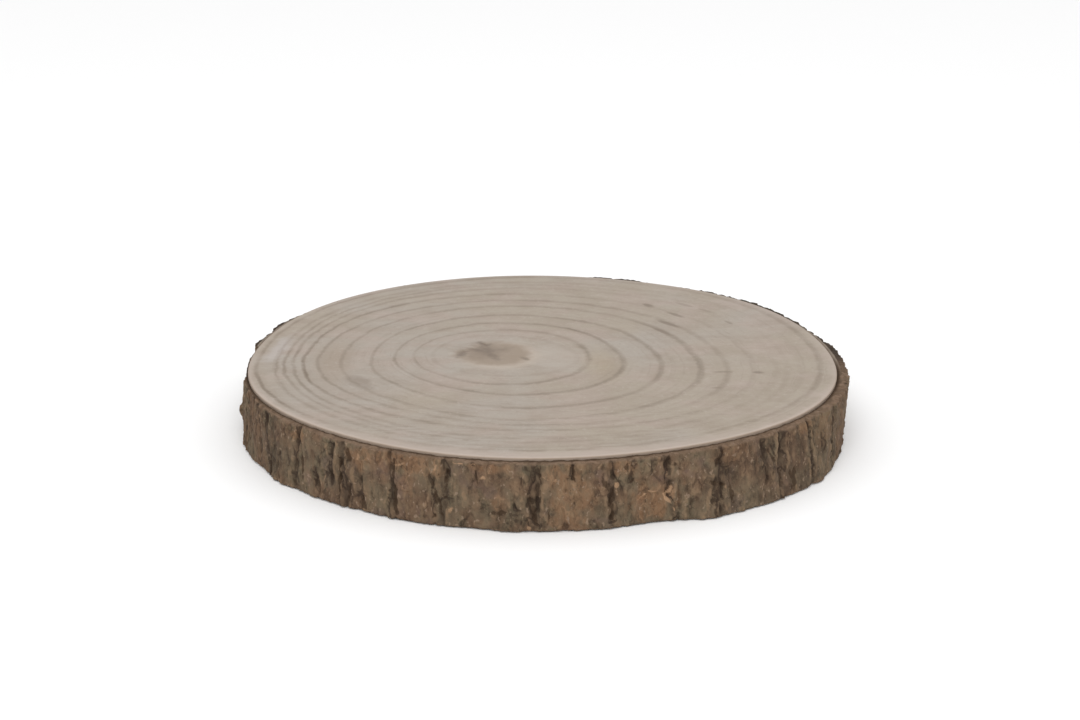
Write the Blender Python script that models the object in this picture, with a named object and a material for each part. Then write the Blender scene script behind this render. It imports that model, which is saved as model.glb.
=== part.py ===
"""Wood slice: a round disc sawn across a pale, wide-ringed trunk, with the bark left on its edge.

It lies flat with its sawn underside on the ground. The origin is the middle of that underside, +Z is up,
and -Y is the side that faces the viewer in the photograph. Formulas work in millimetres; the mesh is in
metres. Angles run from +X (the viewer's right) anticlockwise seen from above.
"""

import math

import bmesh
import bpy
import numpy as np

for old in list(bpy.data.objects):
    bpy.data.objects.remove(old, do_unlink=True)

# Driving dimensions, in millimetres. PITH is where the trunk's growth rings start, from the middle of the
# wood, and CENTRE is the middle of the bark's box from there, which is moved to the origin.
THICKNESS = 30.0
WOOD_RADIUS = 132.7
PITH = (-21.7, 5.3)
CENTRE = (0.51, -0.82)

# The wood's outline as ripples on a circle: ripples per turn, height, angle of the first crest in degrees
OUTLINE = [
    (1, 0.81, -132),
    (2, 0.81, -64),
    (3, 1.12, -61),
    (4, 0.59, 180),
    (5, 0.74, -126),
    (6, 0.38, 169),
    (7, 0.24, -63),
]

# Usual thickness of the bark's plates at the lower and the upper edge, and where it swells or thins: middle
# angle, reach to each side in degrees, and what it adds at the lower and the upper edge. The front half is
# taken from the photograph, where the bark stands out low down at 300 to 325 degrees.
BARK_LOW = 4.6
BARK_HIGH = 4.2
SWELLINGS = [
    (145.0, 8.0, 0.0, -1.3),
    (156.0, 7.0, 0.4, 0.6),
    (164.0, 5.0, 0.0, -0.8),
    (190.0, 24.0, -1.4, -2.0),
    (222.0, 9.0, 0.8, 0.4),
    (272.0, 16.0, 1.5, 0.5),
    (314.5, 23.0, 4.2, 0.9),
    (344.0, 18.0, -0.7, 1.4),
    (4.0, 9.0, 0.5, 1.0),
    (20.0, 14.0, 0.0, -1.0),
    (52.0, 16.0, 0.6, 0.2),
    (95.0, 70.0, 0.3, -1.7),
    (131.0, 14.0, 0.6, 0.0),
]

# Knobs on the bark: angle in degrees, level, radius and height
KNOBS = [
    (188.5, 11.5, 3.4, 1.8),
    (257.0, 12.0, 7.0, 0.9),
    (299.0, 2.0, 8.0, 1.6),
    (38.0, 14.0, 6.0, 1.2),
    (121.0, 9.0, 7.0, 1.3),
]

# Fissures seen in the photograph: angle in degrees, width, depth, lean in degrees from the lower to the upper
# edge, and the span of the height they cross, from 0 at the base to 1 at the top
FISSURES_SEEN = [
    (190.5, 3.5, 1.0, 0.8, 0.0, 0.8),
    (198.0, 3.4, 1.2, -0.6, 0.0, 1.0),
    (203.0, 2.6, 0.8, 0.5, 0.4, 1.0),
    (207.5, 3.0, 1.0, 0.5, 0.0, 1.0),
    (212.0, 3.6, 1.4, -0.8, 0.0, 1.0),
    (216.5, 2.4, 0.8, 0.4, 0.0, 0.6),
    (221.3, 4.0, 1.4, 0.8, 0.0, 1.0),
    (226.4, 3.0, 1.0, -1.0, 0.0, 0.5),
    (230.4, 3.4, 1.1, 0.4, 0.3, 1.0),
    (233.2, 5.0, 1.7, -0.6, 0.0, 1.0),
    (236.8, 3.0, 1.0, 0.8, 0.0, 0.5),
    (243.3, 2.8, 1.4, -0.5, 0.0, 1.0),
    (251.2, 2.6, 1.0, -1.0, 0.0, 0.7),
    (253.2, 4.6, 1.6, 1.2, 0.0, 1.0),
    (257.5, 2.2, 0.8, 0.3, 0.6, 1.0),
    (266.0, 2.6, 0.8, 0.6, 0.2, 0.8),
    (268.7, 6.4, 1.8, -0.7, 0.05, 1.0),
    (274.7, 2.2, 1.0, 0.3, 0.6, 1.0),
    (282.0, 4.2, 1.4, -0.6, 0.0, 1.0),
    (285.0, 2.6, 0.8, 1.6, 0.5, 1.0),
    (292.6, 3.8, 1.4, -1.6, 0.0, 1.0),
    (301.5, 5.6, 1.7, 0.8, 0.0, 1.0),
    (311.7, 3.0, 1.0, -0.6, 0.3, 1.0),
    (315.5, 5.6, 1.7, 1.2, 0.0, 1.0),
    (323.5, 3.4, 1.2, -0.8, 0.0, 1.0),
    (332.3, 4.4, 1.4, 0.8, 0.0, 1.0),
    (336.0, 3.0, 1.0, -0.5, 0.0, 0.8),
    (345.0, 4.0, 1.4, 0.6, 0.0, 1.0),
    (352.5, 3.6, 1.3, -0.8, 0.0, 1.0),
]

# A fissure's floor and each of its walls as shares of its width, and how far its line strays sideways
FLOOR_SHARE = 0.24
WALL_SHARE = 0.5
STRAY = 1.1

# Unevenness of the plates: length round the slice, length along the height, height and seed
PLATE_LUMPS = [
    (10.0, 15.0, 0.65, 3),
    (5.0, 7.5, 0.35, 4),
]
THINNEST_BARK = 1.2

# Where the bark has broken off down to its thin inner layer: middle angle, half the arc in degrees, the level
# it reaches down to, and the thickness left
CHIPS = [
    (182.5, 10.5, 17.5, 0.9),
    (96.0, 7.0, 23.0, 1.6),
]

# The bark's sawn edges lie a little lower than the wood, which is sanded, with a groove between them
RIM_ROUND = 0.7
GROOVE_WIDTH = 0.9
GROOVE_DEPTH = 1.2
BARK_DROP = 0.8
BARK_LIFT = 0.3
EDGE_ROUND = 0.6

# Fineness of the mesh, and the row of points where the wood's rim ends in the groove
COLUMNS = 300
SIDE_ROWS = 7
GROOVE_ROW = 2


def smooth(t):
    """Rise from 0 to 1 with level ends."""
    t = np.clip(t, 0.0, 1.0)
    return t * t * (3.0 - 2.0 * t)


def lumps(angle, level, across, along, seed):
    """Random smooth bumps from -1 to 1 over the side, each about across by along millimetres."""
    count = round(2.0 * math.pi * WOOD_RADIUS / across)
    rows = math.ceil(THICKNESS / along) + 3
    heights = np.random.default_rng(seed).uniform(-1.0, 1.0, (count, rows))
    u = np.asarray(angle) / (2.0 * math.pi) * count
    v = np.asarray(level) / along + 1.0
    i = np.floor(u).astype(int)
    j = np.clip(np.floor(v).astype(int), 0, rows - 2)
    fu = smooth(u - i)
    fv = smooth(v - j)
    low = heights[i % count, j] * (1.0 - fu) + heights[(i + 1) % count, j] * fu
    high = heights[i % count, j + 1] * (1.0 - fu) + heights[(i + 1) % count, j + 1] * fu
    return low * (1.0 - fv) + high * fv


def offset(angle, middle):
    """Signed angle from a middle given in degrees, from minus half a turn to half a turn."""
    return (np.asarray(angle) - math.radians(middle) + math.pi) % (2.0 * math.pi) - math.pi


def all_fissures():
    """The fissures seen in the photograph, and random ones like them round the hidden back."""
    rng = np.random.default_rng(7)
    found = list(FISSURES_SEEN)
    at = 359.5
    while at < 540.0:
        width = rng.uniform(2.6, 6.0)
        depth = 0.5 + 0.21 * width
        whole = rng.random() < 0.7
        low = 0.0 if whole else rng.choice([0.0, 0.4])
        high = 1.0 if whole else low + 0.6
        found.append((at % 360.0, width, depth, rng.uniform(-1.4, 1.4), low, high))
        at += rng.uniform(4.0, 9.5)
    return found


FISSURES = all_fissures()


def fissure_cut(angle, level):
    """Depth cut by the fissures below the plates' surface."""
    height = np.asarray(level) / THICKNESS
    cut = np.zeros(np.broadcast(angle, level).shape)
    stray = STRAY * lumps(angle, level, 14.0, 9.0, 21)
    for at, width, depth, lean, low, high in FISSURES:
        aside = offset(angle, at) - math.radians(lean) * (height - 0.5)
        away = np.abs(aside * WOOD_RADIUS + stray) / width
        across = 1.0 - smooth((away - 0.5 * FLOOR_SHARE) / WALL_SHARE)
        along = np.ones_like(height)
        if low > 0.0:
            along = along * smooth((height - low) / 0.18 + 0.5)
        if high < 1.0:
            along = along * smooth((high - height) / 0.18 + 0.5)
        cut = np.maximum(cut, depth * across * along)
    return cut


def wood_radius(angle):
    """Distance from the middle to the edge of the wood."""
    radius = WOOD_RADIUS
    for turns, height, crest in OUTLINE:
        radius = radius + height * np.cos(turns * np.asarray(angle) - math.radians(crest))
    return radius


def bark_thickness(angle, level):
    """Distance from the edge of the wood to the outside of the bark."""
    height = np.asarray(level) / THICKNESS
    plates = BARK_LOW * (1.0 - height) + BARK_HIGH * height
    for middle, reach, low, high in SWELLINGS:
        swell = smooth(2.0 - 2.0 * np.abs(offset(angle, middle)) / math.radians(reach))
        plates = plates + swell * (low * (1.0 - height) + high * height)
    for middle, at_level, radius, raised in KNOBS:
        away = np.hypot(offset(angle, middle) * WOOD_RADIUS, np.asarray(level) - at_level)
        plates = plates + raised * smooth(1.3 - 1.3 * away / radius)
    for across, along, raised, seed in PLATE_LUMPS:
        plates = plates + raised * lumps(angle, level, across, along, seed)
    bark = np.maximum(plates - fissure_cut(angle, level), THINNEST_BARK)
    for middle, half, bottom, left in CHIPS:
        inside = smooth((math.radians(half) - np.abs(offset(angle, middle))) * WOOD_RADIUS / 3.0 + 0.5)
        ragged = bottom + 1.6 * lumps(angle, np.zeros_like(height), 7.0, 40.0, 5)
        chip = inside * smooth((np.asarray(level) - ragged) / 2.0 + 0.5)
        thin = left + 0.25 * lumps(angle, level, 5.0, 7.5, 6)
        bark = bark * (1.0 - chip) + np.minimum(bark, thin) * chip
    return bark


def ring(angle, beyond_wood, level):
    """One closed row of points round the slice, at a distance beyond the edge of the wood."""
    reach = wood_radius(angle) + beyond_wood
    level = level * np.ones_like(angle)
    return np.stack([reach * np.cos(angle), reach * np.sin(angle), level], axis=1)


def rows_of_points():
    """Every row from the wood's upper rim over the bark and down to the wood's lower rim."""
    angle = np.arange(COLUMNS) * 2.0 * math.pi / COLUMNS
    upper = THICKNESS - BARK_DROP
    lower = BARK_LIFT
    first = bark_thickness(angle, np.full(COLUMNS, upper))
    last = bark_thickness(angle, np.full(COLUMNS, lower))
    rows = [
        ring(angle, -RIM_ROUND, THICKNESS),
        ring(angle, 0.0, THICKNESS - 0.5 * RIM_ROUND),
        ring(angle, 0.5 * GROOVE_WIDTH, THICKNESS - GROOVE_DEPTH),
        ring(angle, np.minimum(GROOVE_WIDTH, 0.75 * first), upper),
        ring(angle, np.maximum(first - EDGE_ROUND, 0.85 * first), upper - 0.2),
    ]
    for step in range(SIDE_ROWS):
        part = step / (SIDE_ROWS - 1)
        level = (upper - 2.0 * EDGE_ROUND) * (1.0 - part) + (lower + 1.5 * EDGE_ROUND) * part
        rows.append(ring(angle, bark_thickness(angle, np.full(COLUMNS, level)), level))
    rows.append(ring(angle, np.maximum(last - EDGE_ROUND, 0.85 * last), lower))
    rows.append(ring(angle, 0.0, 0.5 * lower))
    rows.append(ring(angle, -RIM_ROUND, 0.0))
    return rows


def material(name, colour, roughness):
    made = bpy.data.materials.new(name)
    made.use_nodes = True
    shader = made.node_tree.nodes["Principled BSDF"]
    shader.inputs["Base Color"].default_value = (*colour, 1.0)
    shader.inputs["Roughness"].default_value = roughness
    return made


def build_slice():
    rows = rows_of_points()
    frame = bmesh.new()
    shift = np.array([CENTRE[0], CENTRE[1], 0.0])
    points = [[frame.verts.new((p - shift) * 0.001) for p in row] for row in rows]
    bark_rows = range(GROOVE_ROW, len(rows) - 3)
    for k in range(len(rows) - 1):
        for i in range(COLUMNS):
            j = (i + 1) % COLUMNS
            face = frame.faces.new((points[k][i], points[k + 1][i], points[k + 1][j], points[k][j]))
            face.material_index = 1 if k in bark_rows else 0
    for row, level in ((points[0], THICKNESS), (points[-1], 0.0)):
        hub = frame.verts.new((np.array([PITH[0], PITH[1], level]) - shift) * 0.001)
        for i in range(COLUMNS):
            frame.faces.new((hub, row[i], row[(i + 1) % COLUMNS]))
    bmesh.ops.triangulate(frame, faces=[f for f in frame.faces if len(f.verts) == 4])
    bmesh.ops.recalc_face_normals(frame, faces=frame.faces)
    mesh = bpy.data.meshes.new("wood_slice")
    frame.to_mesh(mesh)
    frame.free()
    mesh.materials.append(material("sawn_wood", (0.44, 0.37, 0.30), 0.75))
    mesh.materials.append(material("bark", (0.15, 0.11, 0.08), 0.9))
    mesh.shade_smooth()
    mesh.set_sharp_from_angle(angle=math.radians(35.0))
    made = bpy.data.objects.new("wood_slice", mesh)
    bpy.context.scene.collection.objects.link(made)


build_slice()
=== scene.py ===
"""Looks of the wood slice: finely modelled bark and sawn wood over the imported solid, a floor and soft light.

Formulas work in millimetres, as in the part's source; meshes are in metres. Angles run from +X (the viewer's
right) anticlockwise seen from above.
"""

import math

import bpy
import numpy as np
from mathutils import Matrix, Vector


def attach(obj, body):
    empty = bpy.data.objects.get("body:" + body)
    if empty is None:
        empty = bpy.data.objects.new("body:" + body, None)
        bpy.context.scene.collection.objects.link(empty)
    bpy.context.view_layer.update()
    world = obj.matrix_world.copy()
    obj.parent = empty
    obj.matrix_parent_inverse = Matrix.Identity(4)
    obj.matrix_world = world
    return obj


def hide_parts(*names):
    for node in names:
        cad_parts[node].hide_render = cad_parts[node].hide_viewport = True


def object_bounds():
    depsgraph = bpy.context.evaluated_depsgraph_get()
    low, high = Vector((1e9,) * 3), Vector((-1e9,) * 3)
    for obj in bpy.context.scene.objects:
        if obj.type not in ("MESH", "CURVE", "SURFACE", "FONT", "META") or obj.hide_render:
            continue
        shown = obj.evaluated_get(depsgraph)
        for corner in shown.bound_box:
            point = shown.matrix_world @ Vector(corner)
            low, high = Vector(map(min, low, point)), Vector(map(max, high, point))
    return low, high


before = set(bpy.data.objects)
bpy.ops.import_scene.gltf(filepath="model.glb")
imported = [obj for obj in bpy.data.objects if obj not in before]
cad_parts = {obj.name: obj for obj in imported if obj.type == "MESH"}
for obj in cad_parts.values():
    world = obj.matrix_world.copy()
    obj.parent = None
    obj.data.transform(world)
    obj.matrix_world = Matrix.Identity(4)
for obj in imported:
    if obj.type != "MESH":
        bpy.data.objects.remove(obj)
CAD_LOW, CAD_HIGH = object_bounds()

TURN = 2.0 * math.pi

# Shape, the same values as in the part's source
THICKNESS = 30.0
WOOD_RADIUS = 132.7
PITH = (-21.7, 5.3)
CENTRE = (0.51, -0.82)
OUTLINE = [
    (1, 0.81, -132), (2, 0.81, -64), (3, 1.12, -61), (4, 0.59, 180), (5, 0.74, -126), (6, 0.38, 169),
    (7, 0.24, -63),
]
BARK_LOW = 4.6
BARK_HIGH = 4.2
SWELLINGS = [
    (145.0, 8.0, 0.0, -1.3), (156.0, 7.0, 0.4, 0.6), (164.0, 5.0, 0.0, -0.8),
    (190.0, 24.0, -1.4, -2.0), (222.0, 9.0, 0.8, 0.4), (272.0, 16.0, 1.5, 0.5),
    (314.5, 23.0, 4.2, 0.9), (344.0, 18.0, -0.7, 1.4), (4.0, 9.0, 0.5, 1.0),
    (20.0, 14.0, 0.0, -1.0), (52.0, 16.0, 0.6, 0.2), (95.0, 70.0, 0.3, -1.7),
    (131.0, 14.0, 0.6, 0.0),
]
KNOBS = [
    (188.5, 11.5, 3.4, 1.8),
    (257.0, 12.0, 7.0, 0.9),
    (299.0, 2.0, 8.0, 1.6),
    (38.0, 14.0, 6.0, 1.2),
    (121.0, 9.0, 7.0, 1.3),
]
FISSURES_SEEN = [
    (190.5, 3.5, 1.0, 0.8, 0.0, 0.8), (198.0, 3.4, 1.2, -0.6, 0.0, 1.0),
    (203.0, 2.6, 0.8, 0.5, 0.4, 1.0), (207.5, 3.0, 1.0, 0.5, 0.0, 1.0),
    (212.0, 3.6, 1.4, -0.8, 0.0, 1.0), (216.5, 2.4, 0.8, 0.4, 0.0, 0.6),
    (221.3, 4.0, 1.4, 0.8, 0.0, 1.0), (226.4, 3.0, 1.0, -1.0, 0.0, 0.5),
    (230.4, 3.4, 1.1, 0.4, 0.3, 1.0), (233.2, 5.0, 1.7, -0.6, 0.0, 1.0),
    (236.8, 3.0, 1.0, 0.8, 0.0, 0.5), (243.3, 2.8, 1.4, -0.5, 0.0, 1.0),
    (251.2, 2.6, 1.0, -1.0, 0.0, 0.7), (253.2, 4.6, 1.6, 1.2, 0.0, 1.0),
    (257.5, 2.2, 0.8, 0.3, 0.6, 1.0), (266.0, 2.6, 0.8, 0.6, 0.2, 0.8),
    (268.7, 6.4, 1.8, -0.7, 0.05, 1.0), (274.7, 2.2, 1.0, 0.3, 0.6, 1.0),
    (282.0, 4.2, 1.4, -0.6, 0.0, 1.0), (285.0, 2.6, 0.8, 1.6, 0.5, 1.0),
    (292.6, 3.8, 1.4, -1.6, 0.0, 1.0), (301.5, 5.6, 1.7, 0.8, 0.0, 1.0),
    (311.7, 3.0, 1.0, -0.6, 0.3, 1.0), (315.5, 5.6, 1.7, 1.2, 0.0, 1.0),
    (323.5, 3.4, 1.2, -0.8, 0.0, 1.0), (332.3, 4.4, 1.4, 0.8, 0.0, 1.0),
    (336.0, 3.0, 1.0, -0.5, 0.0, 0.8), (345.0, 4.0, 1.4, 0.6, 0.0, 1.0),
    (352.5, 3.6, 1.3, -0.8, 0.0, 1.0),
]
FLOOR_SHARE = 0.24
WALL_SHARE = 0.5
STRAY = 1.1
PLATE_LUMPS = [
    (10.0, 15.0, 0.65, 3),
    (5.0, 7.5, 0.35, 4),
]
THINNEST_BARK = 1.2
CHIPS = [
    (182.5, 10.5, 17.5, 0.9),
    (96.0, 7.0, 23.0, 1.6),
]
RIM_ROUND = 0.7
GROOVE_WIDTH = 0.9
GROOVE_DEPTH = 1.2
BARK_DROP = 0.8
BARK_LIFT = 0.3
EDGE_ROUND = 0.6

# The fissures' random stray to the side: across, along, seed
STRAY_LUMPS = (14.0, 9.0, 21)
# Larger than the thickness, so that lumps with this height change only on the way round
ROUND_ONLY = 40.0
# Where fissures run out above the foot or below the top: length of the end, as a share of the thickness
FISSURE_END = 0.18
# The hidden back: seeds of its fissures and marks, where its fissures start and end, how many marks
FISSURE_SEED = 7
MARK_SEED = 8
BACK_START = 359.5
BACK_END = 540.0
HIDDEN_MARK_COUNT = 62

# Fineness of the bark's mesh
BARK_COLUMNS = 1440
SIDE_ROWS = 48
TOP_ROWS = 5
UNDER_ROWS = 3
BARK_STRIPS = 4

# How far the bark's relief is pushed about to make it ragged: across, along, distance, seed
RAGGED = [
    (3.4, 4.0, 0.75, 61),
    (1.4, 2.2, 0.40, 62),
]
# Dark cracks in the fissures: place across the fissure as a share of its width, half width, depth, seed
FISSURE_CRACKS = [
    (-0.28, 0.45, 0.35, 71),
    (0.24, 0.40, 0.30, 72),
]
# How far a fissure is filled again, and how uneven its floor is, as shares of its depth
FILLED = 0.50
UNEVEN_FLOOR = 0.8
MARK_DEPTH = 0.5
# Where the top of the bark is worn down, or stands up where negative: middle and half of the stretch in
# degrees, how far
WORN_TOP = [
    (150.0, 24.0, 0.8),
    (47.0, 12.0, -0.4),
    (73.5, 8.0, -0.7),
]
# Where the bark's edge is dark nearly to the wood at the back: middle and half of the stretch in degrees
DARK_EDGES = [
    (40, 24), (71.5, 4), (96, 3), (104, 2.5), (112.5, 3),
]
# Flakes on the bark: width, height along the trunk, how far they stand up or down, depth of the creases
# between them, seed
FLAKES = [
    (4.8, 11.0, 0.34, 0.10, 31),
    (2.2, 4.4, 0.24, 0.12, 32),
]
# Width of the crease between flakes, as a share of a flake
CREASE_WIDTH = 0.20
# Fine lumps and fibres on the bark: across, along, height, seed
BARK_GRAIN = [
    (1.6, 2.2, 0.20, 33),
    (1.2, 7.0, 0.20, 34),
]

# Where the bark is a warm orange-brown: angle in degrees, level, half width and half height, strength
WARM_PATCHES = [
    (289.5, 10, 9, 7, 1), (275, 14, 8, 14, 0.75), (272, 24, 4, 4, 0.8), (284, 25.5, 5, 3.5, 0.9),
    (246, 25, 12, 3.5, 0.75), (237, 24, 6, 4.5, 0.8), (252, 25, 3, 5, 0.7), (222, 25, 4, 3.5, 0.9),
    (261, 27, 8, 2, 0.7), (262.5, 12, 3, 5, 0.6), (246.5, 17, 3, 5, 0.5), (329, 22, 8, 6, 0.4),
    (322, 27, 5, 2.5, 0.7), (304, 26, 7, 4, 0.4), (352, 20, 8, 8, 0.35), (15, 14, 12, 9, 0.6),
    (72, 9, 14, 8, 0.8), (118, 20, 10, 7, 0.6), (151, 10, 12, 9, 0.7),
]
# Where the bark is darker, partly darker bark and partly painted shade where it turns from the light at either
# side of the front, as the warm patches are given
SHADED_PATCHES = [
    (214, 13, 12, 16, 0.7), (233.5, 12, 9, 13, 1), (301.5, 12, 8, 14, 0.9), (311, 12, 12, 14, 0.6),
    (320, 13, 10, 14, 0.9), (333, 14, 14, 10, 0.7), (35, 12, 12, 13, 0.8), (95, 14, 16, 12, 0.8),
    (135, 12, 10, 12, 0.8), (170, 14, 12, 12, 0.7),
]
# Pale torn flake edges seen on the bark: angle, level, half width, half height, lean in degrees, strength
PALE_CHIPS = [
    (287.5, 12.9, 0.45, 2.5, 58, 0.9), (289.7, 14.4, 0.45, 2.8, 97, 1), (291.9, 10.2, 0.55, 3.8, -34, 1),
    (293.2, 5.4, 0.45, 1.7, -34, 0.8), (292.2, 13.3, 0.5, 3.2, 41, 1), (286.4, 9, 0.4, 2.2, 10, 0.6),
    (270.6, 23, 0.45, 2, -60, 0.8), (281, 14, 0.5, 3.2, 14, 0.6), (272.4, 22.4, 0.4, 1.6, 60, 0.7),
    (291.8, 20.6, 0.5, 2.4, 24, 0.7), (282.8, 18.8, 0.8, 1.2, 0, 0.9), (302.7, 12.2, 0.5, 1, 0, 0.7),
    (313.2, 7.8, 0.7, 1.8, -20, 0.8), (322.8, 27.6, 0.9, 0.9, 0, 0.6), (260, 23, 1.1, 1.2, 0, 0.9),
    (236.4, 24, 0.8, 1.8, 20, 0.7), (251.7, 25, 0.6, 2, 20, 0.8), (228.6, 9.5, 0.8, 2.6, 0, 0.7),
    (254.4, 7.5, 0.6, 2.2, 24, 0.7), (222.3, 28, 0.8, 1, 0, 0.7), (245, 24.5, 0.5, 3.2, 66, 0.8),
    (267.9, 1.8, 0.9, 1.4, 0, 0.7), (204.9, 27, 0.8, 2, 35, 0.6), (258, 28.2, 0.4, 9.5, 88, 0.8),
]
# Dark cracks and hollows seen on the bark: angle, level, half width, half height, lean in degrees, strength
DARK_MARKS = [
    (212.8, 8.2, 0.8, 8, 0, 0.6), (218.7, 5.8, 0.6, 4, 8, 0.7), (222.9, 14.5, 0.7, 7, -4, 0.9),
    (227.6, 4, 0.4, 3.5, 0, 0.8), (232.2, 13.5, 0.8, 11, 2, 1), (234.4, 23.5, 1.6, 5, 0, 0.7),
    (234.4, 7.5, 1, 3.5, 14, 0.8), (237.4, 4.2, 1.2, 3.8, -8, 0.9), (243.6, 21.8, 0.6, 4.6, 0, 0.9),
    (244.2, 8.2, 0.9, 8, -3, 1), (246, 13, 0.5, 3, 88, 0.7), (251.8, 12, 0.9, 7.5, -20, 0.8),
    (253.5, 19.2, 1.1, 7.5, 4, 0.7), (251.2, 4.2, 0.8, 1.5, 30, 0.9), (258.9, 24, 0.5, 3, 0, 0.8),
    (262.7, 8, 0.9, 3.5, 84, 0.7), (267.9, 15, 0.9, 3, 0, 0.6), (269.6, 24.2, 0.5, 5.5, 0, 0.75),
    (268.6, 7.2, 1, 7, -12, 0.7), (271.1, 7.2, 0.5, 6, 4, 0.75), (275.4, 25, 0.5, 4, 0, 0.9),
    (281.2, 18.5, 1.5, 6, -24, 0.7), (281.9, 9.2, 1.1, 6, 0, 0.7), (284.5, 25.5, 0.8, 2.2, -10, 0.8),
    (285.6, 19.8, 0.8, 1.8, 40, 0.8), (292.6, 26, 1.5, 3.5, -30, 0.6), (294.3, 17.8, 0.8, 8, 0, 0.5),
    (288, 9.5, 0.5, 3.5, 8, 0.7), (286.1, 13, 0.5, 2.5, 0, 0.6), (301.1, 14, 1.1, 4, -72, 0.8),
    (302, 24.5, 0.8, 5, 34, 0.8), (303.7, 9.2, 1.1, 4.5, -6, 0.8), (310.7, 20.8, 0.8, 1.1, 0, 0.9),
    (313, 20.2, 0.6, 5, -24, 0.7), (317.2, 23.5, 0.6, 4, 0, 0.8), (314.9, 10.8, 0.6, 5, 12, 0.8),
    (318.1, 6.5, 1.6, 7.5, 0, 0.8), (324.9, 18.8, 1.2, 3.5, 0, 0.7), (337, 7.2, 0.7, 2.8, 0, 0.8),
]

# Growth rings counted from the pith. Each is a share of the way from the pith to the bark, three waves on it
# (height and crest in degrees, one, two and three to a turn), how dark its line is, and how much darker it is
# in which direction
RINGS = [
    (0.140, 0.010, -100, 0.006, -50, 0.000, 0, 0.00, 0.00, 0),
    (0.235, 0.024, -118, 0.015, -24, 0.006, -28, 0.25, 0.00, 0),
    (0.302, 0.035, -134, 0.003, -32, 0.007, 51, 0.62, 0.08, 0),
    (0.391, 0.036, -112, 0.012, -54, 0.009, -58, 0.90, 0.25, -10),
    (0.498, 0.045, -98, 0.016, -57, 0.008, 58, 0.72, 0.08, -40),
    (0.615, 0.043, -102, 0.015, -56, 0.009, -57, 0.58, 0.08, -20),
    (0.688, 0.036, -118, 0.018, -35, 0.012, -49, 0.58, 0.12, 180),
    (0.759, 0.018, -132, 0.016, -29, 0.006, -37, 0.65, 0.40, -165),
    (0.824, 0.004, -79, 0.009, -51, 0.002, -54, 0.44, 0.36, -165),
    (0.860, 0.000, -140, 0.008, -59, 0.002, -48, 0.42, 0.32, -160),
    (0.900, 0.004, 0, 0.005, -66, 0.002, 44, 0.38, 0.26, -165),
    (0.958, 0.016, 104, 0.008, 26, 0.001, 11, 0.70, 0.25, -140),
    (1.000, 0.000, 0, 0.000, 0, 0.000, 0, 0.00, 0.00, 0),
]

# Rings inside this share have no small waves
PITH_SHARE = 0.2
# Seeds of the rings' small waves and of how their lines fade, counted up from ring to ring
RING_SEED = 60
FADE_SEED = 80

# Fineness of the wood's mesh: rows in the pith, and in each ring on the upper face and on the underside
WOOD_COLUMNS = 600
PITH_ROWS = 26
RING_ROWS = 6
UNDER_RING_ROWS = 2
# Depth of the wood's wall below its upper face that takes that face's colours, and the least distance from a
# ring's rows to the wood's edge
RIM_DEPTH = 2.5
RIM_CLEAR = 1.3 * RIM_ROUND

# Drying cracks near the pith: start and end in millimetres from the pith, width and depth
CRACKS = [
    ((-8.0, 16.0), (-4.5, 9.5), 1.8, 0.2),
    ((-5.5, 7.5), (-3.0, -2.5), 3.0, 0.12),
    ((-14.5, 1.0), (-16.5, -7.0), 2.2, 0.15),
]
# Dark blurred marks in the pith: place in millimetres from the pith, half length, half width, turn, strength
PITH_MARKS = [
    ((-6.2, 12.8), 4.2, 1.3, -62, 0.9), ((-3.4, 11.2), 2.4, 1.2, 60, 0.8),
    ((-4.3, 3), 6, 2.8, 105, 0.7), ((-9, 3.8), 4, 1.5, -38, 0.8),
    ((-15.3, -2.5), 4.6, 1.7, 75, 0.9), ((-0.4, -6.5), 5, 1.6, -68, 0.7),
    ((13.8, -9), 2.6, 1.1, -60, 0.8), ((2.5, 5), 5, 1.5, 20, 0.4),
]
# Darker spots and short dashes on the wood: place, half length, half width, turn in degrees, strength
SPOTS = [
    ((50.8, 80.7), 3, 1.6, -50, 0.9), ((63.5, 64.7), 5, 1.3, -50, 0.9),
    ((58.8, 50.9), 7, 1.5, -50, 1), ((55.8, 38.2), 6.5, 1.2, -55, 0.8),
    ((68.8, 81.2), 5, 1.2, -42, 0.55), ((78.8, 71.4), 5, 1, -45, 0.4),
    ((88, 52.7), 3, 0.9, -60, 0.7), ((79.5, -21.6), 4, 1, 0, 0.7),
    ((95.8, -22.3), 2.4, 1.6, -20, 1), ((75.8, -43.6), 2.5, 0.9, 0, 0.6),
    ((-81.7, -36.1), 10, 4.5, -62, 0.5),
]

# Parts of the wood with a colour of their own: place, half sizes in millimetres, turn, strength, colour
STAINS = [
    ((-94.7, -10.9), 11.0, 40.0, 0.0, 0.60, (147, 131, 115)),
    ((26.4, -11.3), 11.0, 30.0, 0.0, 0.50, (152, 137, 114)),
    ((-122.0, 12.0), 5.5, 26.0, -8.0, 0.85, (170, 161, 155)),
]

# Fine relief of the surfaces in metres, where a spot's soft edge ends, and how little bark and floor reflect
WOOD_BUMP = 0.0002
BARK_BUMP = 0.0006
FIBRE_BUMP = 0.0010
SPOT_EDGE = 1.15
DULL = 0.10

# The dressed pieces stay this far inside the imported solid's box, in millimetres
BOX_MARGIN = 0.02

# Floor and light, in metres
FLOOR_HALF = 4.0
FLOOR_LEVEL = -0.0002
FLOOR_COLOUR = (0.94, 0.94, 0.94, 1.0)
SKY_COLOUR = (1.0, 1.0, 1.0, 1.0)
SKY_STRENGTH = 0.95
KEY_PLACE = (-0.05, -1.25, 1.6)
KEY_AIM = (0.0, 0.0, 0.015)
KEY_SIZE = 1.4
KEY_POWER = 14.0

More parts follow.
